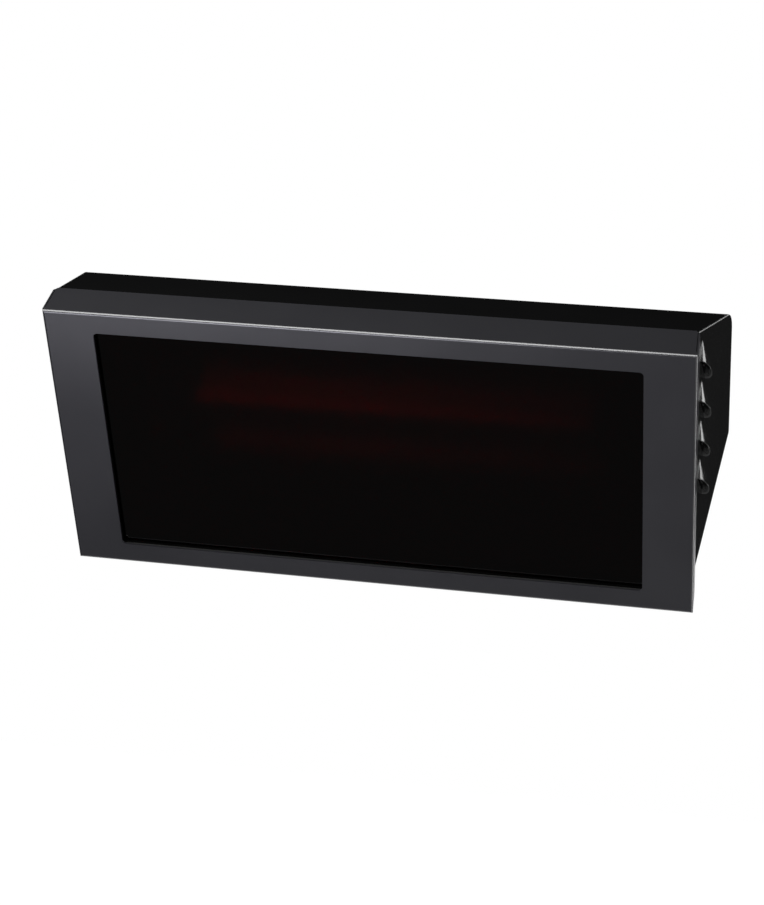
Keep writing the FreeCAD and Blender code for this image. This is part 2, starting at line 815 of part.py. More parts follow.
def tilt_yoke():
    """Channel bolted to the back panel, with an ear towards the wall at each end."""
    ear_end = pivot_d + yoke_ear_radius
    half = yoke_height / 2
    line = [V(-yoke_out, ear_end, -half), V(-yoke_out, body_depth, -half),
            V(yoke_out, body_depth, -half), V(yoke_out, ear_end, -half)]
    channel = folded(line, bracket_sheet, [bracket_bend] * 2, UP).extrude(V(0, 0, yoke_height))
    outline = stadium(body_depth, half, yoke_ear_radius)
    holes = [ear_drill(0, 0, pivot_bolt_radius + running_gap)]
    holes.append(ear_drill(-clamp_arm, 0, clamp_bolt_radius + hole_clearance))
    holes += [drill(place, BACK, bolt_radius) for place in yoke_bolt_places]
    return channel.common(outline).cut(holes)


def yoke_bolts():
    length = bracket_sheet + housing_sheet + bolt_head + nut_standout
    return group([hex_bolt(place, FRONT, bolt_hex, bolt_head, bolt_radius, length)
                  for place in yoke_bolt_places])


def yoke_nuts():
    return group([hex_nut(V(place.x, back_inside, place.z), FRONT, bolt_hex, bolt_radius, bolt_head)
                  for place in yoke_bolt_places])


def tilt_slot():
    """Arc slot that the clamp bolt follows from level to the full tilt."""
    outer = clamp_arm + slot_half
    band = ring(V(-FAR, pivot_d, 0), RIGHT, outer, clamp_arm - slot_half, 2 * FAR)
    long = 2 * outer
    far_way = V(0, -cos(tilt_angle), -sin(tilt_angle)) * long
    sector = across([(pivot_d, 0), (pivot_d - long, 0), (pivot_d + far_way.y, far_way.z)], -FAR, FAR)
    ends = [ear_drill(-clamp_arm * cos(turn), -clamp_arm * sin(turn), slot_half) for turn in (0, tilt_angle)]
    return [band.common(sector)] + ends


def wall_bracket():
    """Channel screwed to the wall, with slotted ears outside the yoke's."""
    wall_d = pivot_d + wall_reach
    ear_end = pivot_d - ear_radius
    line = [V(ear_out, ear_end, -ear_radius), V(ear_out, wall_d, -ear_radius),
            V(-ear_out, wall_d, -ear_radius), V(-ear_out, ear_end, -ear_radius)]
    channel = folded(line, bracket_sheet, [bracket_bend] * 2, UP).extrude(V(0, 0, 2 * ear_radius))
    outline = stadium(wall_d, ear_radius, ear_radius)
    wall_holes = [rod(V(x, wall_d - wall_reach, z), BACK, wall_hole_radius, 2 * wall_reach)
                  for x in row(2, wall_hole_pitch) for z in row(2, wall_hole_rise)]
    pivot_hole = ear_drill(0, 0, pivot_bolt_radius + hole_clearance)
    return channel.common(outline).cut(tilt_slot() + wall_holes + [pivot_hole])


def pivot_bolts():
    length = ear_out - yoke_in + running_gap + pivot_nut + nut_standout
    right = hex_bolt(V(ear_out, pivot_d, 0), LEFT, pivot_hex, pivot_head, pivot_bolt_radius, length)
    return group([right, mirrored(right)])


def pivot_nuts():
    right = hex_nut(V(yoke_in - running_gap, pivot_d, 0), LEFT, pivot_hex, pivot_bolt_radius, pivot_nut)
    return group([right, mirrored(right)])


def pivot_washers():
    right = ring(V(ear_in, pivot_d, 0), LEFT, washer_radius, pivot_bolt_radius + hole_clearance, washer_thick)
    return group([right, mirrored(right)])


def clamp_bolts():
    seat = V(yoke_in, pivot_d - clamp_arm, 0)
    head = rod(seat, LEFT, clamp_head_radius, clamp_head)
    shank = rod(seat, RIGHT, clamp_bolt_radius, ear_out - yoke_in + running_gap + knob_height / 2)
    right = head.fuse(shank).removeSplitter()
    return group([right, mirrored(right)])


def clamp_knobs():
    """Fluted hand knob on each clamp bolt."""
    seat = V(ear_out + running_gap, pivot_d - clamp_arm, 0)
    knob = rod(seat, RIGHT, knob_radius, knob_height)
    turns = [index * 2 * pi / knob_lobes for index in range(knob_lobes)]
    rims = [seat + V(0, cos(turn), sin(turn)) * knob_radius for turn in turns]
    flutes = [rod(rim, RIGHT, knob_flute, knob_height) for rim in rims]
    bore = rod(seat, RIGHT, clamp_bolt_radius + hole_clearance, knob_height / 2)
    right = knob.cut(flutes + [bore])
    return group([right, mirrored(right)])


right_cheek = cheek()
right_end = reflector_end()
right_cap = lamp_cap()
right_holder = lamp_holder()
top_retainer = glass_retainer()

nodes = {
    "front_frame": front_frame(),
    "glass_gasket": glass_gasket(),
    "glass_panel": glass_panel(),
    "glass_retainer_top": top_retainer,
    "glass_retainer_bottom": top_retainer.mirror(V(0, 0, 0), UP),
    "retainer_nuts": retainer_nuts(),
    "rear_housing": rear_housing(),
    "cheek_right": right_cheek,
    "cheek_left": mirrored(right_cheek),
    "frame_screws": frame_screws(),
    "cheek_screws": cheek_screws(),
    "reflector": reflector(),
    "reflector_end_right": right_end,
    "reflector_end_left": turned(right_end),
    "end_screws": end_screws(),
    "heat_shield": heat_shield(),
    "shield_spacers": shield_spacers(),
    "shield_bolts": shield_bolts(),
    "shield_nuts": shield_nuts(),
    "lamp_tube": lamp_tube(),
    "lamp_filament": lamp_filament(),
    "lamp_cap_right": right_cap,
    "lamp_cap_left": mirrored(right_cap),
    "lamp_holder_right": right_holder,
    "lamp_holder_left": turned(right_holder),
    "holder_screws": holder_screws(),
    "terminal_block": terminal_block(),
    "block_screws": block_screws(),
    "terminal_screws": terminal_screws(),
    "lead_live": lead_live(),
    "lead_neutral": lead_neutral(),
    "earth_stud": earth_stud(),
    "earth_nut": earth_nut(),
    "gland_body": gland_body(),
    "gland_locknut": gland_locknut(),
    "gland_seal": gland_seal(),
    "gland_nut": gland_nut(),
    "tilt_yoke": tilt_yoke(),
    "yoke_bolts": yoke_bolts(),
    "yoke_nuts": yoke_nuts(),
    "clamp_bolts": clamp_bolts(),
    "clamp_knobs": clamp_knobs(),
    "wall_bracket": wall_bracket(),
    "pivot_bolts": pivot_bolts(),
    "pivot_nuts": pivot_nuts(),
    "pivot_washers": pivot_washers(),
}

for name, shape in nodes.items():
    shape.translate(V(0, front_y, 0))
    shape.exportStep("parts/" + name + ".step")
    print(name, len(shape.Solids), shape.isValid(), round(shape.Volume))
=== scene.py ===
from math import cos, pi, radians, sin, tan

import bmesh
import bpy
from mathutils import Matrix, Vector


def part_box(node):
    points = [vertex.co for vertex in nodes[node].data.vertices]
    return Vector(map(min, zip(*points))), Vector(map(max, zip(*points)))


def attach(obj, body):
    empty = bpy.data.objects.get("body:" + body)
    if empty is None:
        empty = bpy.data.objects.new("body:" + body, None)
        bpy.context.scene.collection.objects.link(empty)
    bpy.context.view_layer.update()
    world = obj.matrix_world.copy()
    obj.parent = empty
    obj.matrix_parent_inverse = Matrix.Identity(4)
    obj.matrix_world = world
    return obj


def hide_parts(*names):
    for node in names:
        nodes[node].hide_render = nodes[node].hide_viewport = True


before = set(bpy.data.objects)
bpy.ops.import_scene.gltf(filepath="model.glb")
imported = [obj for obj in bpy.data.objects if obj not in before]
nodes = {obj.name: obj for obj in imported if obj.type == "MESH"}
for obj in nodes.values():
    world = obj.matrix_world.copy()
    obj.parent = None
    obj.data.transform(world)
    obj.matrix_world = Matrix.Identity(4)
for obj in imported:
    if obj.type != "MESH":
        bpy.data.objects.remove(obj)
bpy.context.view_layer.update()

scene = bpy.context.scene
scene.view_settings.view_transform = "Standard"

MM = 0.001
RIGHT = Vector((1, 0, 0))
LEFT = Vector((-1, 0, 0))
BACK = Vector((0, 1, 0))

# Camera: place in metres, lens and sensor in millimetres
CAMERA_AT = Vector((0.4805, -1.9789, 1.2210))
CAMERA_LOOKS = Vector((-0.2146, 0.8039, -0.5547))
CAMERA_UP = Vector((-0.0787, 0.5519, 0.8302))
CAMERA_LENS = 94.53
CAMERA_SENSOR = 36.0

# Floor: depth below the heater's middle and half its width, in metres
FLOOR_DROP = 1.8
FLOOR_HALF = 1.3
FLOOR_COLOUR = (0.8, 0.8, 0.8, 1)

# Glow of the floor to the camera and in reflections
FLOOR_SHINE = 0.8
FLOOR_GLOSS = 0.35

# World: dim light from the front and from above
ROOM_LIGHT = 0.065
OVERHEAD = 0.10

# World: how steeply down a reflection looks where the white sweep starts, and how fast it comes
SWEEP_START = 0.7
SWEEP_FADE = 0.2

WHITE = (1, 1, 1, 1)
NEUTRAL = (1, 1, 1)
COOL = (0.90, 0.89, 1.0)

# Lamps: name, place, aim, width and height in metres, power in watts, colour
SOFTBOXES = (
    ("key_softbox", (-0.43, -1.27, 0.05), (0.05, -0.22, 0.05), 0.75, 0.6, 4.7, COOL),
    ("top_softbox", (-0.38, -0.62, 1.17), (-0.20, -0.22, 0.10), 1.5, 0.9, 17.5, NEUTRAL),
    ("right_softbox", (1.45, -1.15, 0.0), (0.3, -0.18, 0.05), 1.5, 0.45, 16.5, NEUTRAL),
    ("edge_strip", (1.14, -0.12, -0.53), (0.30, -0.22, 0.0), 0.2, 0.6, 1.6, NEUTRAL),
    ("flange_rim", (0.28, 0.82, -0.72), (0.30, -0.20, -0.08), 0.3, 0.6, 1.2, NEUTRAL),
    ("cheek_rim", (0.66, 1.04, -0.10), (0.30, -0.15, 0.12), 0.4, 0.45, 0.8, NEUTRAL),
    ("back_fill", (1.5, 1.3, 0.3), (0.0, 0.0, 0.0), 0.8, 0.8, 8, NEUTRAL),
)

# Finishes: steepness that makes a slope a step, and radii of rounded edges in millimetres
STEP = 1e5
EDGE_SAMPLES = 4
SHEET_EDGE = 0.5
MOULDED_EDGE = 0.4
THIN_EDGE = 0.3
PLATED_EDGE = 0.2

# Powder coat: shine of the cheeks, and shine of the housing with extra paleness, a painted sheen standing
# in for the shine it lacks
COAT_SHINE = 0.75
DULL_SHINE = 0.25
PAINTED_SHEEN_LIFT = 0.001

# Powder coat: how far a cut edge faces forward and down, and how much duller it is
EDGE_FORWARD = 0.5
EDGE_DOWN = 0.3
EDGE_DULL = 0.69

# Share of the lamp, from the left, that glows evenly
GLOW_EVEN = 0.5

# Filament, in millimetres
COIL_RADIUS = 0.8
COIL_WIRE = 0.17
COIL_PITCH = 0.9
COIL_STEPS = 10
COIL_SIDES = 5

# Support rings of the filament, in millimetres
SUPPORT_PITCH = 37.0
SUPPORT_RADIUS = 3.7
SUPPORT_WIRE = 0.2
SUPPORT_TURNS = 1.6
SUPPORT_RUN = 1.0
SUPPORT_RISE = 3
SUPPORT_STEPS = 30
SUPPORT_SIDES = 6

# Meshes: corners of a round piece, angle above which an edge stays sharp, and weld in millimetres
ROUND_STEPS = 48
SHARP_ANGLE = radians(35)
WELD = 0.001
SORT_DIGITS = 4

# Screws, in millimetres; the head is listed as radius and height above the seat
SCREW_RADIUS = 2.0
SCREW_HEAD = 2.4
SCREW_PROFILE = ((4.0, 0.0), (4.0, 0.7), (3.9, 1.15), (3.6, 1.6),
                 (3.1, 1.95), (2.4, 2.2), (1.4, 2.35), (0.6, SCREW_HEAD))
THREAD_PITCH = 0.8
THREAD_DEPTH = 0.18

# Cross recess of a screw, in millimetres, and its reach at the floor and above the head
RECESS_REACH = 2.1
RECESS_HALF = 0.45
RECESS_DEPTH = 1.5
RECESS_ABOVE = 1.0
RECESS_FLOOR_SHARE = 0.45
RECESS_TOP_SHARE = 1.25

# Bolts and nuts, in millimetres
YOKE_BOLT_FLATS = 8.0
YOKE_BOLT_RADIUS = 2.5
YOKE_BOLT_HEAD = 3.5
PIVOT_FLATS = 13.0
PIVOT_RADIUS = 4.0
PIVOT_BOLT_HEAD = 5.3
NUT_COUNTERSINK = 0.4
NUT_DEPTH = 0.6
CHAMFER = radians(30)
CHAMFER_SHARE = 0.94

# Hand knobs, in millimetres
KNOB_RADIUS = 11.0
KNOB_LOBES = 6
KNOB_FLUTE = 0.24

# Boss of a knob: share of the radius and height
KNOB_BOSS = ((0.50, 0.0), (0.56, 0.3), (0.56, 1.5))

# Rim of a knob: share of the radius, height and share of the flutes' depth
KNOB_RIM = ((0.80, 1.6, 0.6), (0.92, 2.1, 0.9), (0.98, 3.2, 1.0), (1.0, 5.0, 1.0), (1.0, 8.0, 1.0),
            (0.98, 9.6, 0.95), (0.93, 10.8, 0.8), (0.84, 11.6, 0.55))
KNOB_LIP_SHARE = 0.72
KNOB_LIP_FLUTE = 0.25

# Dished top of a knob: share of the radius and depth below the lip
KNOB_DISH = ((0.58, 0.1), (0.46, 0.7), (0.30, 0.9), (0.08, 0.9))


class Wire:
    """A shader value that works in sums as a number does."""

    def __init__(self, tree, socket):
        self.tree = tree
        self.socket = socket

    def out(self, key):
        """Another output of the same node."""
        return Wire(self.tree, socket_of(self.socket.node.outputs, key))

    def maths(self, operation, *values):
        node = self.tree.nodes.new("ShaderNodeMath")
        node.operation = operation
        for socket, value in zip(node.inputs, values):
            plug(self.tree, socket, value)
        return Wire(self.tree, node.outputs[0])

    def clamped(self):
        """The value, kept between zero and one."""
        wire = self.maths("ADD", self, 0.0)
        wire.socket.node.use_clamp = True
        return wire

    def __add__(self, other):
        return self.maths("ADD", self, other)

    def __radd__(self, other):
        return self.maths("ADD", other, self)

    def __sub__(self, other):
        return self.maths("SUBTRACT", self, other)

    def __rsub__(self, other):
        return self.maths("SUBTRACT", other, self)

    def __mul__(self, other):
        return self.maths("MULTIPLY", self, other)

    def __rmul__(self, other):
        return self.maths("MULTIPLY", other, self)

    def __truediv__(self, other):
        return self.maths("DIVIDE", self, other)

    def __rtruediv__(self, other):
        return self.maths("DIVIDE", other, self)


def socket_of(sockets, key):
    """The socket with that identifier or name."""
    return next(socket for socket in sockets if key in (socket.identifier, socket.name))


def plug(tree, socket, value):
    """Links a wire to a socket, or sets a plain value on it."""
    if isinstance(value, Wire):
        tree.links.new(value.socket, socket)
    else:
        socket.default_value = value


class Shader:
    """A node tree that is filled by calls."""

    def __init__(self, tree):
        self.tree = tree
        tree.nodes.clear()

    def node(self, kind, settings=None, sockets=None, output=0):
        """Adds a node: its settings first, then the values or links of its sockets."""
        made = self.tree.nodes.new("ShaderNode" + kind)
        for name, value in (settings or {}).items():
            setattr(made, name, value)
        for key, value in (sockets or {}).items():
            plug(self.tree, socket_of(made.inputs, key), value)
        if not made.outputs:
            return None
        found = made.outputs[output] if isinstance(output, int) else socket_of(made.outputs, output)
        return Wire(self.tree, found)

    def place(self):
        """Where the surface is on the object, in metres."""
        return self.node("TexCoord", output="Object")

    def along(self, axis):
        """One coordinate of the place: X, Y or Z."""
        return self.node("SeparateXYZ", {}, {"Vector": self.place()}, axis)

    def facing(self, axis, limit):
        """One where the surface faces against an axis by more than a limit, and zero elsewhere."""
        face = self.node("SeparateXYZ", {}, {"Vector": self.node("TexCoord", output="Normal")}, axis)
        return ((0 - face - limit) * STEP).clamped()

    def stretched(self, x, y, z):
        """The place, scaled along each axis, for grain with a direction."""
        return self.node("Mapping", {}, {"Vector": self.place(), "Scale": (x, y, z)})

    def noise(self, scale, detail=2.0, rough=0.5, vector=None):
        """Cloudy noise; the scale is about its number of spots in a metre."""
        sockets = {"Vector": vector or self.place(), "Scale": scale, "Detail": detail, "Roughness": rough}
        return self.node("TexNoise", {}, sockets, "Fac")

    def cells(self, scale, output="Distance", vector=None):
        """Pebbled cells; the scale is about their number in a metre."""
        return self.node("TexVoronoi", {}, {"Vector": vector or self.place(), "Scale": scale}, output)

    def mix(self, factor, first, second):
        """Colour between two colours."""
        return self.node("Mix", {"data_type": "RGBA"},
                         {"Factor_Float": factor, "A_Color": first, "B_Color": second}, "Result_Color")

    def rounded(self, radius):
        """Normal that rounds sharp edges; the radius is in millimetres."""
        return self.node("Bevel", {"samples": EDGE_SAMPLES}, {"Radius": radius * MM})

    def bump(self, height, depth, normal=None):
        """Normal of a surface with a height over it; the depth is in millimetres."""
        sockets = {"Height": height, "Distance": depth * MM, "Strength": 1.0}
        if normal:
            sockets["Normal"] = normal
        return self.node("Bump", {}, sockets)

    def show(self, surface, kind="OutputMaterial"):
        self.node(kind, {"is_active_output": True}, {"Surface": surface})


def grey(level, blue=0.0):
    return (level, level, level + blue, 1)


def satin_anthracite(s):
    """Front frame: dark satin paint with a fine flake and a little orange peel."""
    flake = s.noise(1800, 2)
    cloud = s.noise(14, 3)
    colour = s.mix(flake * 0.6 + cloud * 0.4, grey(0.0050, 0.0030), grey(0.0080, 0.0040))
    peel = s.noise(420, 1)
    return {"Base Color": colour, "Roughness": 0.28 + 0.06 * cloud, "IOR": 1.8, "Specular IOR Level": 1.0,
            "Normal": s.bump(peel + 0.4 * flake, 0.012)}


def powder_coat(s, shine, painted_sheen):
    """Black powder coat with a fine even grain, duller on edges that face forward and down."""
    grain = s.noise(1500, 2)
    cloud = s.noise(11, 3)
    # The extra paleness added here is painted sheen, not a colour of the coat
    colour = s.mix(grain * 0.7 + cloud * 0.3, grey(0.0042 + painted_sheen), grey(0.0075 + painted_sheen, 0.0003))
    cut_edge = s.facing("Y", EDGE_FORWARD) * s.facing("Z", EDGE_DOWN)
    return {"Base Color": colour, "Roughness": 0.21 + 0.06 * cloud + 0.04 * grain + EDGE_DULL * cut_edge,
            "IOR": 1.6, "Specular IOR Level": shine, "Normal": s.bump(grain, 0.012, s.rounded(SHEET_EDGE))}


def black_powder_coat(s):
    """Cheeks: satin black powder coat."""
    return powder_coat(s, COAT_SHINE, 0.0)


def dull_powder_coat(s):
    """Housing: the same coat with less shine, made a little paler as painted sheen in place of that shine.
    """
    return powder_coat(s, DULL_SHINE, PAINTED_SHEEN_LIFT)


def bracket_powder_coat(s):
    """Bracket and yoke: black powder coat with a coarser, pebbled grain."""
    pebbles = s.cells(900)
    cloud = s.noise(20, 3)
    colour = s.mix(cloud, grey(0.008), grey(0.016, 0.001))
    return {"Base Color": colour, "Roughness": 0.45 + 0.15 * cloud,
            "Normal": s.bump(pebbles, 0.06, s.rounded(SHEET_EDGE))}


def dark_glass(s):
    """Window: smoked heat glass, clear in front and frosted behind, that lets a dim red through."""
    ripple = s.noise(30, 2)
    tint = s.mix(ripple, (0.0085, 0.0006, 0.0006, 1), (0.0105, 0.0008, 0.0008, 1))
    low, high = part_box("glass_panel")
    behind = ((s.along("Y") - (low.y + high.y) / 2) * STEP).clamped()
    return {"Base Color": tint, "Roughness": 0.03 + 0.01 * ripple + 0.28 * behind,
            "Transmission Weight": 1.0, "IOR": 1.5, "Normal": s.bump(ripple, 0.01)}


def gasket_rubber(s):
    """Seals: dull rubber with a fine speckle."""
    speckle = s.noise(2200, 3)
    return {"Base Color": s.mix(speckle, grey(0.010), grey(0.022)), "Roughness": 0.7 + 0.2 * speckle,
            "Normal": s.bump(speckle, 0.04)}


def zinc_plate(s):
    """Screws, bolts and nuts: bright zinc with a faint straw and blue cast."""
    cast = s.noise(160, 3)
    scuff = s.noise(900, 4, 0.7, s.stretched(1, 1, 6))
    colour = s.mix(cast, (0.56, 0.57, 0.60, 1), (0.64, 0.62, 0.56, 1))
    return {"Base Color": colour, "Metallic": 1.0, "Roughness": 0.24 + 0.22 * scuff,
            "Normal": s.bump(scuff, 0.02, s.rounded(PLATED_EDGE))}


def galvanised_sheet(s):
    """Heat shield and retainers: zinc spangle on thin sheet."""
    spangle = s.cells(95, "Color")
    level = s.node("SeparateColor", {}, {"Color": spangle}, "Red")
    streak = s.noise(300, 3, 0.6, s.stretched(0.2, 1, 4))
    colour = s.mix(level, (0.44, 0.45, 0.46, 1), (0.62, 0.63, 0.64, 1))
    return {"Base Color": colour, "Metallic": 1.0, "Roughness": 0.30 + 0.18 * level + 0.08 * streak,
            "Normal": s.bump(streak, 0.02, s.rounded(THIN_EDGE))}


def polished_aluminium(s):
    """Reflector: mirror sheet with fine rolling lines along the lamp."""
    lines = s.noise(900, 2, 0.5, s.stretched(0.02, 1, 1))
    haze = s.noise(25, 3)
    colour = s.mix(haze, (0.60, 0.60, 0.61, 1), (0.70, 0.70, 0.71, 1))
    return {"Base Color": colour, "Metallic": 1.0, "Roughness": 0.12 + 0.06 * haze + 0.04 * lines,
            "Normal": s.bump(lines, 0.002)}


def lamp_heat(s, bright, dim):
    """Glow that falls off towards the right end of the lamp."""
    low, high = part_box("lamp_filament")
    run = ((s.along("X") - low.x) / (high.x - low.x)).clamped()
    return s.mix(((run - GLOW_EVEN) / (1 - GLOW_EVEN)).clamped(), bright, dim)


def ruby_quartz(s):
    """Lamp tube: ruby-coated quartz that glows faintly."""
    streak = s.noise(40, 2, 0.5, s.stretched(0.2, 1, 1))
    tint = s.mix(streak, (0.55, 0.05, 0.03, 1), (0.75, 0.09, 0.05, 1))
    return {"Base Color": tint, "Roughness": 0.08 + 0.06 * streak, "Transmission Weight": 0.6, "IOR": 1.46,
            "Emission Color": lamp_heat(s, (1.0, 0.06, 0.04, 1), (0.30, 0.018, 0.012, 1)),
            "Emission Strength": 0.74, "Normal": s.bump(streak, 0.01)}


def hot_tungsten(s):
    """Filament: dull red heat."""
    band = s.noise(500, 2, 0.5, s.stretched(1, 0.1, 0.1))
    return {"Base Color": grey(0.35), "Metallic": 1.0, "Roughness": 0.4 + 0.2 * band,
            "Emission Color": lamp_heat(s, (1.0, 0.20, 0.07, 1), (0.35, 0.07, 0.025, 1)),
            "Emission Strength": 1.6, "Normal": s.bump(band, 0.02)}


def steatite(s):
    """Lamp caps and holders: cream ceramic with faint mottling."""
    mottle = s.noise(240, 4)
    return {"Base Color": s.mix(mottle, (0.66, 0.62, 0.53, 1), (0.76, 0.73, 0.65, 1)),
            "Roughness": 0.45 + 0.2 * mottle, "Normal": s.bump(mottle, 0.05, s.rounded(MOULDED_EDGE))}


def braided_sleeve(s):
    """Leads: white glass-fibre braid."""
    weave = s.cells(1600, vector=s.stretched(1, 1.6, 0.7))
    return {"Base Color": s.mix(weave, (0.70, 0.69, 0.64, 1), (0.46, 0.45, 0.41, 1)),
            "Roughness": 0.7 + 0.2 * weave, "Normal": s.bump(weave, 0.12)}


def block_plastic(s):
    """Terminal block: pale moulded plastic."""
    pores = s.noise(1400, 2)
    return {"Base Color": s.mix(pores, (0.60, 0.58, 0.53, 1), (0.68, 0.66, 0.61, 1)),
            "Roughness": 0.4 + 0.15 * pores, "Normal": s.bump(pores, 0.02, s.rounded(THIN_EDGE))}


def black_nylon(s):
    """Cable gland: dull moulded nylon."""
    grain = s.noise(2600, 2)
    return {"Base Color": s.mix(grain, grey(0.012), grey(0.024)), "Roughness": 0.42 + 0.2 * grain,
            "Normal": s.bump(grain, 0.03, s.rounded(MOULDED_EDGE))}


def knob_plastic(s):
    """Hand knobs: black plastic with a spark-eroded grain."""
    grain = s.cells(2000)
    return {"Base Color": s.mix(grain, grey(0.010), grey(0.022)), "Roughness": 0.5 + 0.2 * grain,
            "Normal": s.bump(grain, 0.05)}


def turned_brass(s):
    """Earth stud: brass with turning marks."""
    rings = s.noise(1200, 2, 0.5, s.stretched(0.1, 1, 0.1))
    return {"Base Color": s.mix(rings, (0.62, 0.44, 0.16, 1), (0.74, 0.55, 0.24, 1)), "Metallic": 1.0,
            "Roughness": 0.22 + 0.2 * rings, "Normal": s.bump(rings, 0.02, s.rounded(PLATED_EDGE))}


FINISHES = {
    satin_anthracite: ["front_frame"],
    dull_powder_coat: ["rear_housing"],
    black_powder_coat: ["cheek_right", "cheek_left"],
    bracket_powder_coat: ["tilt_yoke", "wall_bracket"],
    dark_glass: ["glass_panel"],
    gasket_rubber: ["glass_gasket", "gland_seal"],
    zinc_plate: ["retainer_nuts", "frame_screws", "cheek_screws", "end_screws", "shield_spacers",
                 "shield_bolts", "shield_nuts", "holder_screws", "block_screws", "terminal_screws",
                 "yoke_bolts", "yoke_nuts", "clamp_bolts", "pivot_bolts", "pivot_nuts", "pivot_washers"],
    galvanised_sheet: ["glass_retainer_top", "glass_retainer_bottom", "heat_shield"],
    polished_aluminium: ["reflector", "reflector_end_right", "reflector_end_left"],
    ruby_quartz: ["lamp_tube"],
    hot_tungsten: ["lamp_filament"],
    steatite: ["lamp_cap_right", "lamp_cap_left", "lamp_holder_right", "lamp_holder_left"],
    braided_sleeve: ["lead_live", "lead_neutral"],
    block_plastic: ["terminal_block"],
    black_nylon: ["gland_body", "gland_locknut", "gland_nut"],
    knob_plastic: ["clamp_knobs"],
    turned_brass: ["earth_stud", "earth_nut"],
}


def empty_material(name):
    """A new material, and its node tree to fill."""
    material = bpy.data.materials.new(name)
    material.use_nodes = True
    return material, Shader(material.node_tree)


def dress_nodes():
    """Gives every CAD node its finish."""
    for recipe, names in FINISHES.items():
        material, s = empty_material(recipe.__name__)
        s.show(s.node("BsdfPrincipled", {}, recipe(s)))
        for name in names:
            mesh = nodes[name].data
            mesh.materials.clear()
            mesh.materials.append(material)


def solids_of(name):
    """Lowest and highest corner of each separate solid in a CAD node, from left to right."""
    mesh = bmesh.new()
    mesh.from_mesh(nodes[name].data)
    bmesh.ops.remove_doubles(mesh, verts=mesh.verts, dist=WELD * MM)
    left = set(mesh.verts)
    boxes = []
    while left:
        solid = [left.pop()]
        for vert in solid:
            linked = [edge.other_vert(vert) for edge in vert.link_edges]
            fresh = [other for other in linked if other in left]
            left.difference_update(fresh)
            solid += fresh
        places = [vert.co for vert in solid]
        low = Vector([min(place[axis] for place in places) for axis in range(3)])
        high = Vector([max(place[axis] for place in places) for axis in range(3)])
        boxes.append((low, high))
    mesh.free()
    return sorted(boxes, key=lambda box: tuple(round(value, SORT_DIGITS) for value in box[0]))


def ring(height, radius):
    """Corners round the Z axis; the height and radius may depend on the angle."""
    corners = []
    for step in range(ROUND_STEPS):
        turn = 2 * pi * step / ROUND_STEPS
        reach = radius(turn) if callable(radius) else radius
        level = height(turn) if callable(height) else height
        corners.append(Vector((reach * cos(turn), reach * sin(turn), level)))
    return corners


def skin(shape, rings):
    """Adds a closed skin over rings of corners, in millimetres, with flat ends."""
    loops = [[shape.verts.new(corner * MM) for corner in corners] for corners in rings]
    for lower, upper in zip(loops, loops[1:]):
        for index in range(len(lower)):
            shape.faces.new((lower[index - 1], lower[index], upper[index], upper[index - 1]))
    shape.faces.new(list(reversed(loops[0])))
    shape.faces.new(loops[-1])


def mesh_from(shape, name):
    """Mesh of a finished shape."""
    mesh = bpy.data.meshes.new(name)
    shape.to_mesh(mesh)
    shape.free()
    return mesh


def turned(rings):
    """Mesh of one piece turned about the Z axis."""
    shape = bmesh.new()
    skin(shape, rings)
    return mesh_from(shape, "turned")


def shank(radius, length):
    """Rings of a threaded shank below its seat, from the tip up."""
    root = radius - THREAD_DEPTH
    rings = [ring(-length, radius - 2 * THREAD_DEPTH), ring(-length + THREAD_DEPTH, root)]
    turns = int((length - 2 * THREAD_PITCH) / THREAD_PITCH)
    for turn in range(turns):
        level = -length + THREAD_PITCH * (turn + 1)
        rings.append(ring(level, radius))
        rings.append(ring(level + THREAD_PITCH / 2, root))
    return rings + [ring(-THREAD_PITCH, radius), ring(0, radius)]


def cross_recess():
    """Four-pointed cutter that narrows downward from above the top of a screw head."""
    shape = bmesh.new()
    ends = ((SCREW_HEAD - RECESS_DEPTH, RECESS_REACH * RECESS_FLOOR_SHARE),
            (SCREW_HEAD + RECESS_ABOVE, RECESS_REACH * RECESS_TOP_SHARE))
    signs = ((-1, -1), (1, -1), (1, 1), (-1, 1))
    for crosswise in (False, True):
        rings = []
        for level, reach in ends:
            half_x, half_y = (reach, RECESS_HALF) if crosswise else (RECESS_HALF, reach)
            rings.append([Vector((x * half_x, y * half_y, level)) for x, y in signs])
        skin(shape, rings)
    return mesh_from(shape, "cross_recess")


def carved(mesh, cutter):
    """The mesh with the cutter's shape taken out of it."""
    body = bpy.data.objects.new("body", mesh)
    tool = bpy.data.objects.new("tool", cutter)
    for made in (body, tool):
        scene.collection.objects.link(made)
    cut = body.modifiers.new("cut", "BOOLEAN")
    cut.operation = "DIFFERENCE"
    cut.solver = "EXACT"
    cut.use_self = True
    cut.object = tool
    seen = body.evaluated_get(bpy.context.evaluated_depsgraph_get())
    result = bpy.data.meshes.new_from_object(seen)
    for made in (body, tool):
        bpy.data.objects.remove(made)
    return result


def pan_screw(length):
    """Pan-head screw with a cross recess; its seat is at the origin and its head points up."""
    head = [ring(level, radius) for radius, level in SCREW_PROFILE]
    return carved(turned(shank(SCREW_RADIUS, length - SCREW_HEAD) + head), cross_recess())


def hexagonal(flats):
    """Radius of a hexagon at an angle."""
    def reach(turn):
        return flats / 2 / cos((turn + pi / 6) % (pi / 3) - pi / 6)
    return reach


def hex_body(flats, start, end):
    """Rings of a hexagon whose corners are chamfered at its far end."""
    reach = hexagonal(flats)
    flat = flats / 2 * CHAMFER_SHARE

    def shoulder(turn):
        return end - (reach(turn) - flat) * tan(CHAMFER)

    return [ring(start, reach), ring(shoulder, reach), ring(end, flat)]


def hex_bolt(flats, head, radius, length):
    """Hexagon bolt; its seat is at the origin and its head points up."""
    return turned(shank(radius, length - head) + hex_body(flats, 0, head))


def yoke_bolt(length):
    return hex_bolt(YOKE_BOLT_FLATS, YOKE_BOLT_HEAD, YOKE_BOLT_RADIUS, length)


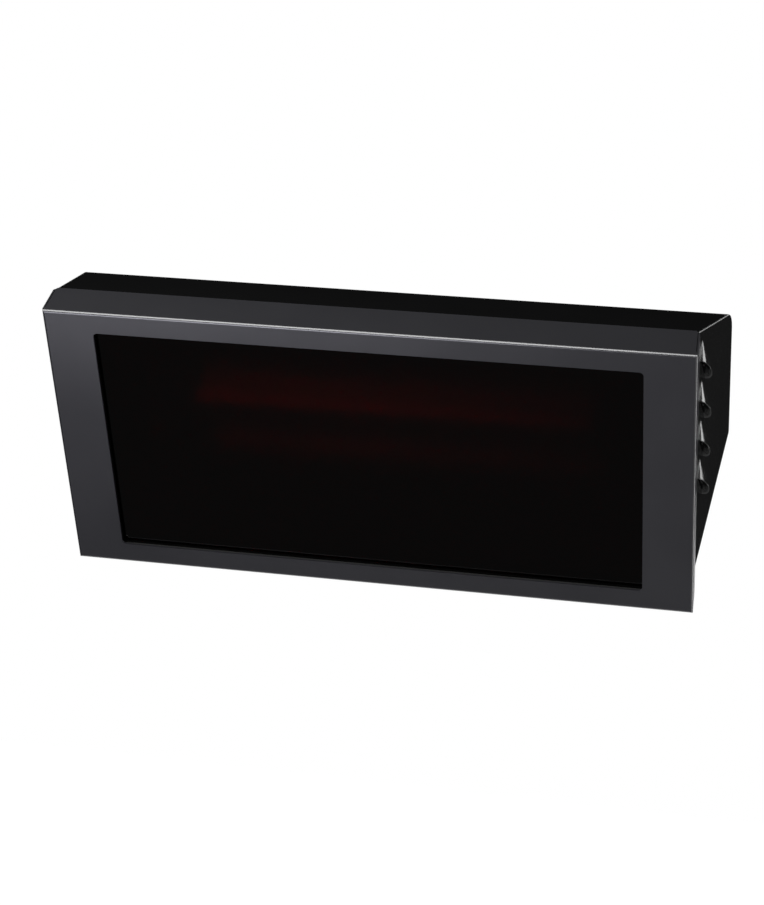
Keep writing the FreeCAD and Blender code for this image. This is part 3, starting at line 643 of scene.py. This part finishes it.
def pivot_bolt(length):
    return hex_bolt(PIVOT_FLATS, PIVOT_BOLT_HEAD, PIVOT_RADIUS, length)


def pivot_nut(thick):
    """Chamfered hexagon nut on its seat, whose countersunk bore is closed just below the top."""
    bore = [ring(thick, PIVOT_RADIUS + NUT_COUNTERSINK), ring(thick - NUT_COUNTERSINK, PIVOT_RADIUS),
            ring(thick - NUT_DEPTH, PIVOT_RADIUS)]
    return turned(hex_body(PIVOT_FLATS, 0, thick) + bore)


def lobed(radius, share):
    """Radius of a fluted rim at an angle; the share is how deep its flutes are."""
    def reach(turn):
        return radius * (1 - share * ((1 + cos(KNOB_LOBES * turn)) / 2) ** 2)
    return reach


def hand_knob(height):
    """Fluted knob with a rounded rim, a dished top and a boss on its seat."""
    rings = [ring(level, KNOB_RADIUS * share) for share, level in KNOB_BOSS]
    for share, level, depth in (*KNOB_RIM, (KNOB_LIP_SHARE, height, KNOB_LIP_FLUTE)):
        rings.append(ring(level, lobed(KNOB_RADIUS * share, KNOB_FLUTE * depth)))
    for share, depth in KNOB_DISH:
        rings.append(ring(height - depth, KNOB_RADIUS * share))
    return turned(rings)


def backward(low, high):
    """Way to the back, for every solid."""
    return BACK


def outward(low, high):
    """Way to the right for a solid right of the middle, and to the left for one left of it."""
    return RIGHT if low.x + high.x > 0 else LEFT


def inward(low, high):
    """Way to the middle."""
    return -outward(low, high)


def axis_of(way):
    """Number of the axis that a way lies along: 0 for X and 1 for Y."""
    return 0 if abs(way.x) > abs(way.y) else 1


def upright_turn(way):
    """Rotation that points the Z axis the given way, with X kept level or along Y."""
    side = RIGHT if axis_of(way) else BACK
    return Matrix((side, way.cross(side), way)).transposed().to_4x4()


def install(name, mesh, body, node, recipe):
    """Makes a mesh a piece that rides on a body in place of a CAD node."""
    mesh.materials.append(bpy.data.materials[recipe.__name__])
    made = bpy.data.objects.new(name, mesh)
    scene.collection.objects.link(made)
    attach(made, body)
    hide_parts(node)


def fit_copies(name, make, head, way_of, body, node, recipe):
    """Fits a copy of one mesh to each solid of a CAD node; with no head, all of it is above its seat."""
    boxes = solids_of(node)
    axis = axis_of(way_of(*boxes[0]))
    length = (boxes[0][1][axis] - boxes[0][0][axis]) / MM
    mesh = make(length)
    shape = bmesh.new()
    for low, high in boxes:
        way = way_of(low, high)
        seat = (low + high) / 2
        seat[axis] = (high if way[axis] > 0 else low)[axis] - way[axis] * (head or length) * MM
        copy = mesh.copy()
        copy.transform(Matrix.Translation(seat) @ upright_turn(way))
        shape.from_mesh(copy)
        bpy.data.meshes.remove(copy)
    joined = mesh_from(shape, name)
    joined.shade_smooth()
    joined.set_sharp_from_angle(angle=SHARP_ANGLE)
    install(name, joined, body, node, recipe)


def fasteners():
    """Screws in the back panel and the apron, and the bolts, nuts and knobs of the tilting bracket."""
    for node in ("cheek_screws", "frame_screws", "shield_bolts"):
        fit_copies(node + "_recessed", pan_screw, SCREW_HEAD, backward,
                   "heater", node, zinc_plate)
    fit_copies("yoke_bolts_chamfered", yoke_bolt, YOKE_BOLT_HEAD, backward,
               "heater", "yoke_bolts", zinc_plate)
    fit_copies("pivot_bolts_chamfered", pivot_bolt, PIVOT_BOLT_HEAD, outward,
               "wall_mount", "pivot_bolts", zinc_plate)
    fit_copies("pivot_nuts_chamfered", pivot_nut, None, inward,
               "wall_mount", "pivot_nuts", zinc_plate)
    fit_copies("hand_knobs", hand_knob, None, outward,
               "heater", "clamp_knobs", knob_plastic)


def tube_along(shape, centres, radius, sides):
    """Adds a round wire that winds about the X axis along a line of points, in millimetres."""
    turns = [2 * pi * step / sides for step in range(sides)]
    rings = []
    for index, centre in enumerate(centres):
        ahead = centres[min(index + 1, len(centres) - 1)]
        behind = centres[max(index - 1, 0)]
        way = (ahead - behind).normalized()
        side = way.cross(RIGHT).normalized()
        other = way.cross(side)
        rings.append([centre + radius * (cos(turn) * side + sin(turn) * other) for turn in turns])
    skin(shape, rings)


def filament():
    """Coiled tungsten wire on the lamp's axis, with a support ring at even places."""
    low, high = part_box("lamp_filament")
    start = Vector((low.x, (low.y + high.y) / 2, (low.z + high.z) / 2)) / MM
    length = (high.x - low.x) / MM
    shape = bmesh.new()
    steps = int(length / COIL_PITCH * COIL_STEPS)
    coil = []
    for step in range(steps + 1):
        turn = 2 * pi * step / COIL_STEPS
        offset = Vector((length * step / steps, COIL_RADIUS * cos(turn), COIL_RADIUS * sin(turn)))
        coil.append(start + offset)
    tube_along(shape, coil, COIL_WIRE, COIL_SIDES)
    count = int(length / SUPPORT_PITCH)
    for index in range(1, count):
        middle = start + RIGHT * (length * index / count)
        loop = []
        for step in range(SUPPORT_STEPS + 1):
            share = step / SUPPORT_STEPS
            reach = COIL_RADIUS + (SUPPORT_RADIUS - COIL_RADIUS) * min(1.0, share * SUPPORT_RISE)
            turn = 2 * pi * share * SUPPORT_TURNS
            loop.append(middle + Vector((share * SUPPORT_RUN, reach * cos(turn), reach * sin(turn))))
        tube_along(shape, loop, SUPPORT_WIRE, SUPPORT_SIDES)
    mesh = mesh_from(shape, "filament")
    mesh.shade_smooth()
    install("coiled_filament", mesh, "heater", "lamp_filament", hot_tungsten)


def camera():
    """Camera at the height and angle of the photograph."""
    made = bpy.data.objects.new("camera", bpy.data.cameras.new("camera"))
    scene.collection.objects.link(made)
    right = CAMERA_LOOKS.cross(CAMERA_UP).normalized()
    up = right.cross(CAMERA_LOOKS).normalized()
    turn = Matrix((right, up, -CAMERA_LOOKS.normalized())).transposed()
    made.matrix_world = Matrix.Translation(CAMERA_AT) @ turn.to_4x4()
    made.data.lens = CAMERA_LENS
    made.data.sensor_width = CAMERA_SENSOR
    scene.camera = made


def background_rays(s):
    """One for the camera's rays and those through glass, and one for rays off a glossy surface."""
    ray = s.node("LightPath")
    return ray.out("Is Camera Ray") + ray.out("Is Transmission Ray"), ray.out("Is Glossy Ray")


def backdrop():
    """White to the camera and through glass, a white sweep below in reflections, and dim light."""
    world = bpy.data.worlds.new("studio")
    scene.world = world
    world.use_nodes = True
    s = Shader(world.node_tree)
    seen, glossy = background_rays(s)
    toward = s.node("SeparateXYZ", {}, {"Vector": s.node("TexCoord", output="Generated")})
    rise = toward.out("Z")
    below = ((0 - rise - SWEEP_START) / SWEEP_FADE).clamped()
    ahead = (0.5 - 0.5 * toward.out("Y")).clamped()
    light = ROOM_LIGHT * ahead + OVERHEAD * rise.clamped()
    level = light + (seen + glossy * below).clamped() * (1 - light)
    s.show(s.node("Background", {}, {"Color": WHITE, "Strength": level}), "OutputWorld")


def pale_floor():
    """Floor far below the heater: pale to the camera, greyer in reflections, and it takes shadows."""
    bpy.ops.mesh.primitive_plane_add(size=2 * FLOOR_HALF, location=(0, 0, -FLOOR_DROP))
    floor = bpy.context.object
    floor.name = "floor"
    material, s = empty_material("pale_floor")
    seen, glossy = background_rays(s)
    level = (seen * FLOOR_SHINE + glossy * FLOOR_GLOSS).clamped()
    glow = s.node("Emission", {}, {"Color": WHITE, "Strength": level})
    matt = s.node("BsdfDiffuse", {}, {"Color": FLOOR_COLOUR})
    s.show(s.node("AddShader", {}, {"Shader": glow, "Shader_001": matt}))
    floor.data.materials.append(material)


def lights():
    """Softboxes at the front left, above and to the right, narrow rim lamps and a weak fill behind."""
    for name, at, aim, width, height, power, colour in SOFTBOXES:
        data = bpy.data.lights.new(name, "AREA")
        data.shape = "RECTANGLE"
        data.color = colour
        data.size = width
        data.size_y = height
        data.energy = power
        made = bpy.data.objects.new(name, data)
        scene.collection.objects.link(made)
        made.location = at
        made.rotation_euler = (Vector(aim) - Vector(at)).to_track_quat("-Z", "Y").to_euler()
        made.visible_camera = False


dress_nodes()
fasteners()
filament()
camera()
backdrop()
pale_floor()
lights()
